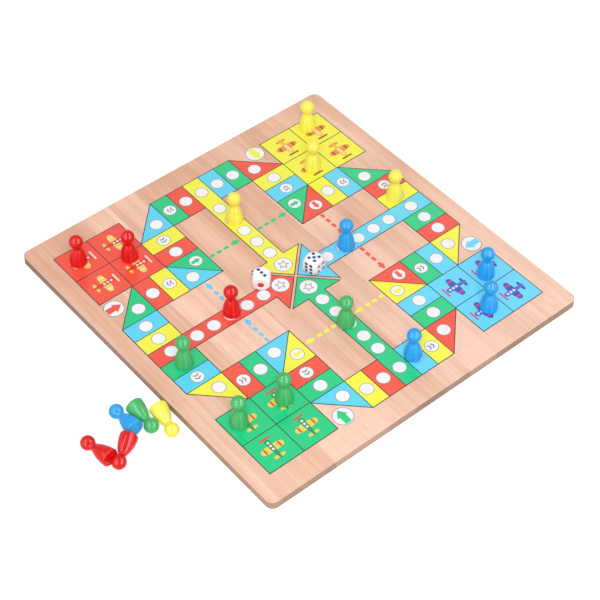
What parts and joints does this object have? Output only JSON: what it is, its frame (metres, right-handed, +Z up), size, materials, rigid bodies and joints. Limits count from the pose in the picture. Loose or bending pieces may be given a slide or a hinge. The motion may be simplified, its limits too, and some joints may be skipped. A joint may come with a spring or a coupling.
{
  "type": "aeroplane chess board",
  "caption": "Wooden aeroplane chess board with a printed track in red, yellow, green and blue, glossy plastic pawns standing on it and lying beside it, and white dice.",
  "frame": {"origin": "middle of the board's underside, on the table", "axes": "+Z up; +X from the green home's side to the blue home's side; +Y from the green home's side to the red home's side, along the wood grain"},
  "size_m": [0.3259, 0.273, 0.0317],
  "materials": {
    "board_wood": "clear satin lacquer over a pale pinkish wood",
    "blue_ink": "flat printed ink",
    "yellow_ink": "flat printed ink",
    "red_ink": "flat printed ink",
    "green_ink": "flat printed ink",
    "white_ink": "flat printed ink",
    "line_ink": "flat printed ink",
    "red_plastic": "glossy moulded plastic",
    "yellow_plastic": "glossy moulded plastic",
    "blue_plastic": "glossy moulded plastic",
    "green_plastic": "glossy moulded plastic",
    "white_plastic": "glossy moulded plastic with painted pips"
  },
  "bodies": {
    "board": {"board_panel": "board_wood", "blue_print": "blue_ink", "yellow_print": "yellow_ink", "red_print": "red_ink", "green_print": "green_ink", "white_print": "white_ink", "outline_print": "line_ink"},
    "left_die": {"left_die": "white_plastic"},
    "right_die": {"right_die": "white_plastic"},
    "red_pawn_1": {"red_pawn_1": "red_plastic"},
    "red_pawn_2": {"red_pawn_2": "red_plastic"},
    "red_pawn_3": {"red_pawn_3": "red_plastic"},
    "red_pawn_4": {"red_pawn_4": "red_plastic"},
    "red_pawn_5": {"red_pawn_5": "red_plastic"},
    "yellow_pawn_1": {"yellow_pawn_1": "yellow_plastic"},
    "yellow_pawn_2": {"yellow_pawn_2": "yellow_plastic"},
    "yellow_pawn_3": {"yellow_pawn_3": "yellow_plastic"},
    "yellow_pawn_4": {"yellow_pawn_4": "yellow_plastic"},
    "yellow_pawn_5": {"yellow_pawn_5": "yellow_plastic"},
    "blue_pawn_1": {"blue_pawn_1": "blue_plastic"},
    "blue_pawn_2": {"blue_pawn_2": "blue_plastic"},
    "blue_pawn_3": {"blue_pawn_3": "blue_plastic"},
    "blue_pawn_4": {"blue_pawn_4": "blue_plastic"},
    "blue_pawn_5": {"blue_pawn_5": "blue_plastic"},
    "green_pawn_1": {"green_pawn_1": "green_plastic"},
    "green_pawn_2": {"green_pawn_2": "green_plastic"},
    "green_pawn_3": {"green_pawn_3": "green_plastic"},
    "green_pawn_4": {"green_pawn_4": "green_plastic"},
    "green_pawn_5": {"green_pawn_5": "green_plastic"}
  },
  "joints": [
    {"name": "lift_left_die", "type": "slide", "parent": "board", "child": "left_die", "axis": [0, 0, 1], "range_m": [0, 0.06]},
    {"name": "lift_right_die", "type": "slide", "parent": "board", "child": "right_die", "axis": [0, 0, 1], "range_m": [0, 0.06]},
    {"name": "lift_red_pawn_1", "type": "slide", "parent": "board", "child": "red_pawn_1", "axis": [0, 0, 1], "range_m": [0, 0.06]},
    {"name": "lift_red_pawn_2", "type": "slide", "parent": "board", "child": "red_pawn_2", "axis": [0, 0, 1], "range_m": [0, 0.06]},
    {"name": "lift_red_pawn_3", "type": "slide", "parent": "board", "child": "red_pawn_3", "axis": [0, 0, 1], "range_m": [0, 0.06]},
    {"name": "lift_red_pawn_4", "type": "slide", "parent": "board", "child": "red_pawn_4", "axis": [0, 0, 1], "range_m": [0, 0.06]},
    {"name": "lift_red_pawn_5", "type": "slide", "parent": "board", "child": "red_pawn_5", "axis": [0, 0, 1], "range_m": [0, 0.06]},
    {"name": "lift_yellow_pawn_1", "type": "slide", "parent": "board", "child": "yellow_pawn_1", "axis": [0, 0, 1], "range_m": [0, 0.06]},
    {"name": "lift_yellow_pawn_2", "type": "slide", "parent": "board", "child": "yellow_pawn_2", "axis": [0, 0, 1], "range_m": [0, 0.06]},
    {"name": "lift_yellow_pawn_3", "type": "slide", "parent": "board", "child": "yellow_pawn_3", "axis": [0, 0, 1], "range_m": [0, 0.06]},
    {"name": "lift_yellow_pawn_4", "type": "slide", "parent": "board", "child": "yellow_pawn_4", "axis": [0, 0, 1], "range_m": [0, 0.06]},
    {"name": "lift_yellow_pawn_5", "type": "slide", "parent": "board", "child": "yellow_pawn_5", "axis": [0, 0, 1], "range_m": [0, 0.06]},
    {"name": "lift_blue_pawn_1", "type": "slide", "parent": "board", "child": "blue_pawn_1", "axis": [0, 0, 1], "range_m": [0, 0.06]},
    {"name": "lift_blue_pawn_2", "type": "slide", "parent": "board", "child": "blue_pawn_2", "axis": [0, 0, 1], "range_m": [0, 0.06]},
    {"name": "lift_blue_pawn_3", "type": "slide", "parent": "board", "child": "blue_pawn_3", "axis": [0, 0, 1], "range_m": [0, 0.06]},
    {"name": "lift_blue_pawn_4", "type": "slide", "parent": "board", "child": "blue_pawn_4", "axis": [0, 0, 1], "range_m": [0, 0.06]},
    {"name": "lift_blue_pawn_5", "type": "slide", "parent": "board", "child": "blue_pawn_5", "axis": [0, 0, 1], "range_m": [0, 0.06]},
    {"name": "lift_green_pawn_1", "type": "slide", "parent": "board", "child": "green_pawn_1", "axis": [0, 0, 1], "range_m": [0, 0.06]},
    {"name": "lift_green_pawn_2", "type": "slide", "parent": "board", "child": "green_pawn_2", "axis": [0, 0, 1], "range_m": [0, 0.06]},
    {"name": "lift_green_pawn_3", "type": "slide", "parent": "board", "child": "green_pawn_3", "axis": [0, 0, 1], "range_m": [0, 0.06]},
    {"name": "lift_green_pawn_4", "type": "slide", "parent": "board", "child": "green_pawn_4", "axis": [0, 0, 1], "range_m": [0, 0.06]},
    {"name": "lift_green_pawn_5", "type": "slide", "parent": "board", "child": "green_pawn_5", "axis": [0, 0, 1], "range_m": [0, 0.06]}
  ]
}
